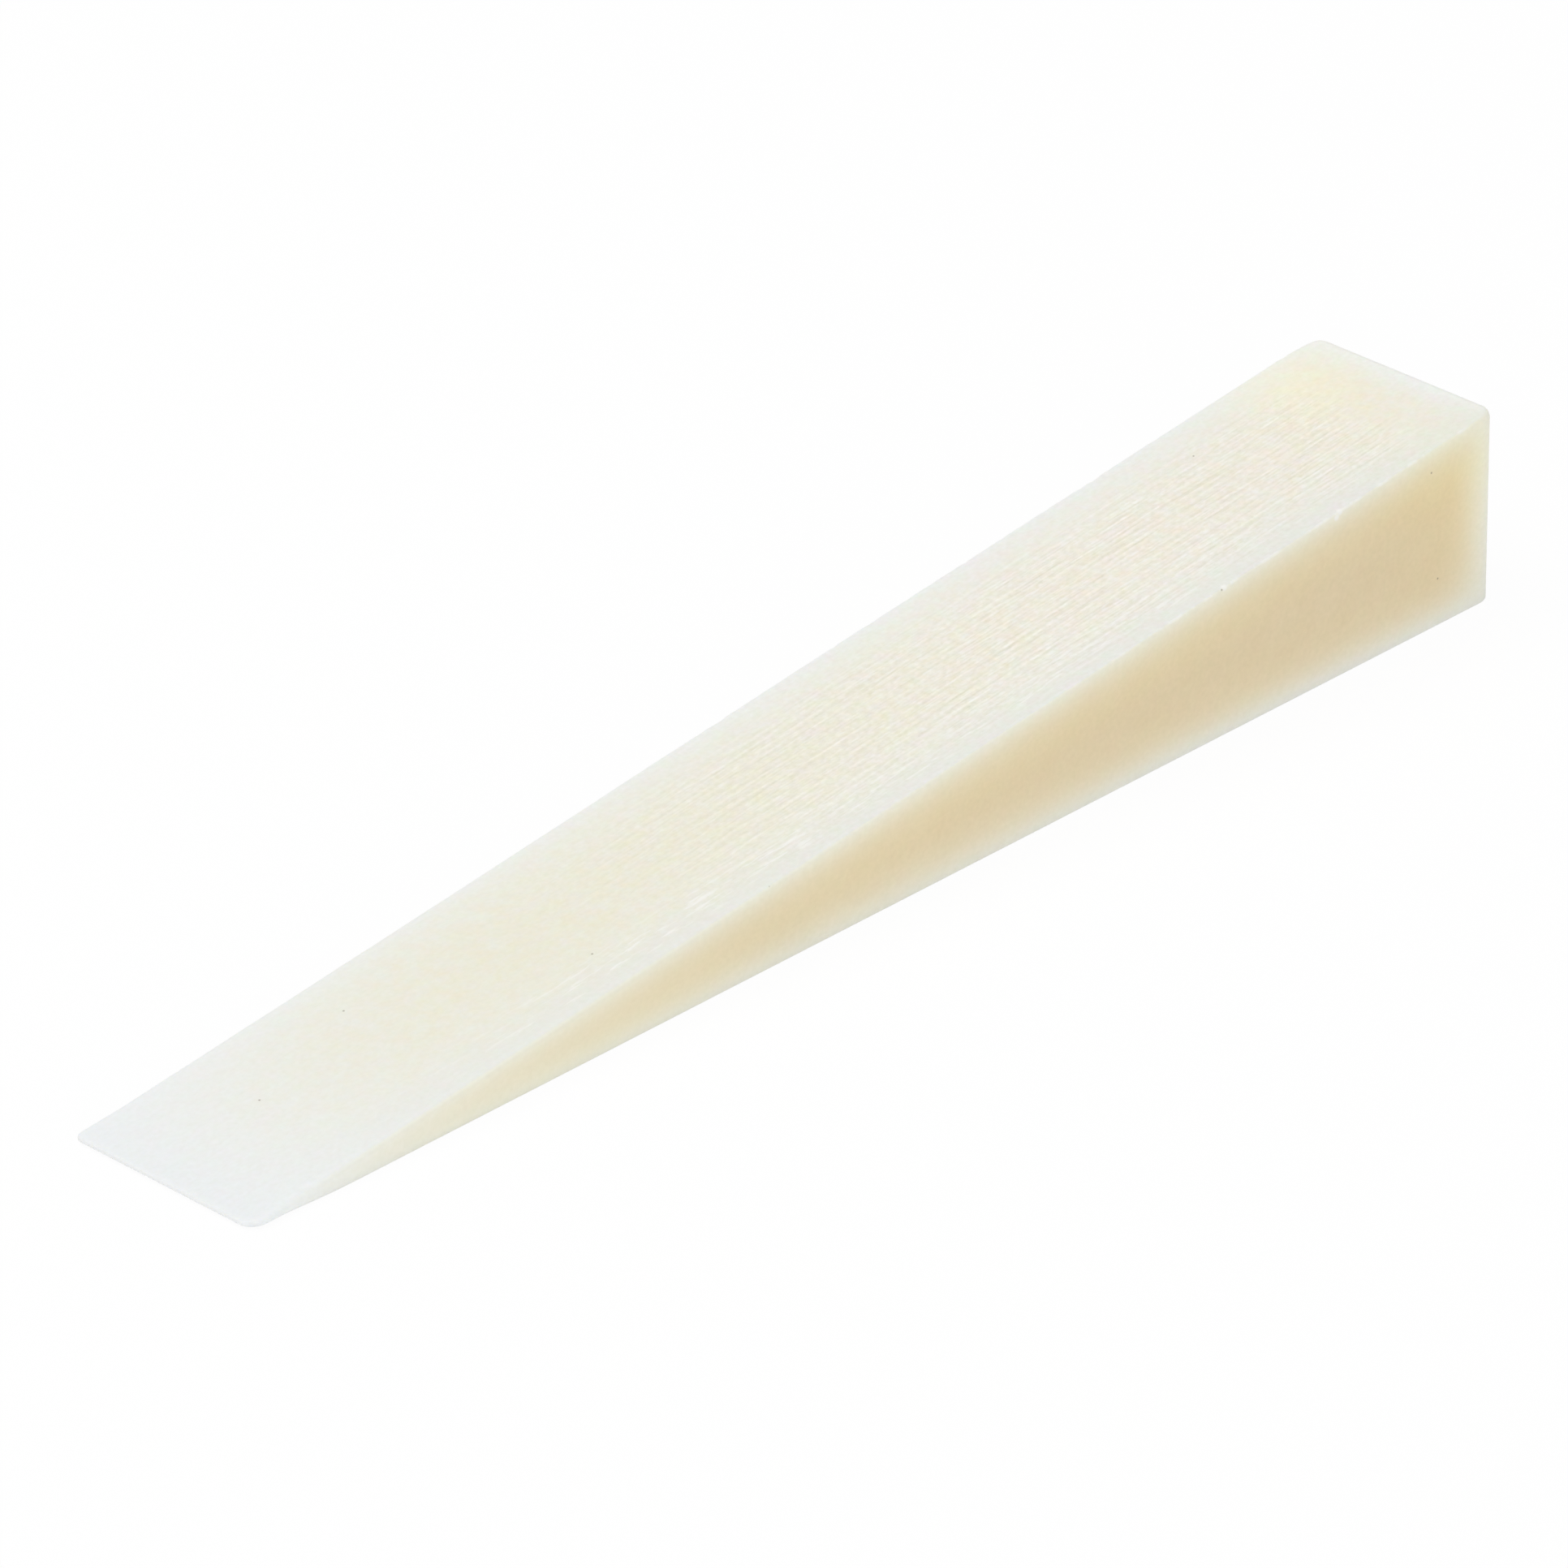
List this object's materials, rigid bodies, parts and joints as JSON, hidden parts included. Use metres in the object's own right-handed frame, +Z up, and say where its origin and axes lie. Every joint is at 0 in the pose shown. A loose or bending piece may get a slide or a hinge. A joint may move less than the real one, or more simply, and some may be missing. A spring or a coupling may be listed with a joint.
{
  "type": "trim removal wedge",
  "caption": "Solid plastic wedge with a flat base, upright sides and a straight ramp that rises from a thin tip to a square tail, for prising vehicle trim loose.",
  "frame": {"origin": "under the middle of the base, on the surface that the wedge lies on", "axes": "+X from the tip to the tail, +Y across the wedge, +Z up from the base"},
  "size_m": [0.2, 0.028, 0.0248],
  "materials": {
    "natural_nylon": "milky ivory, see-through at thin edges, satin sides and a ramp sanded lengthwise"
  },
  "bodies": {
    "root": {"wedge": "natural_nylon"}
  },
  "joints": []
}
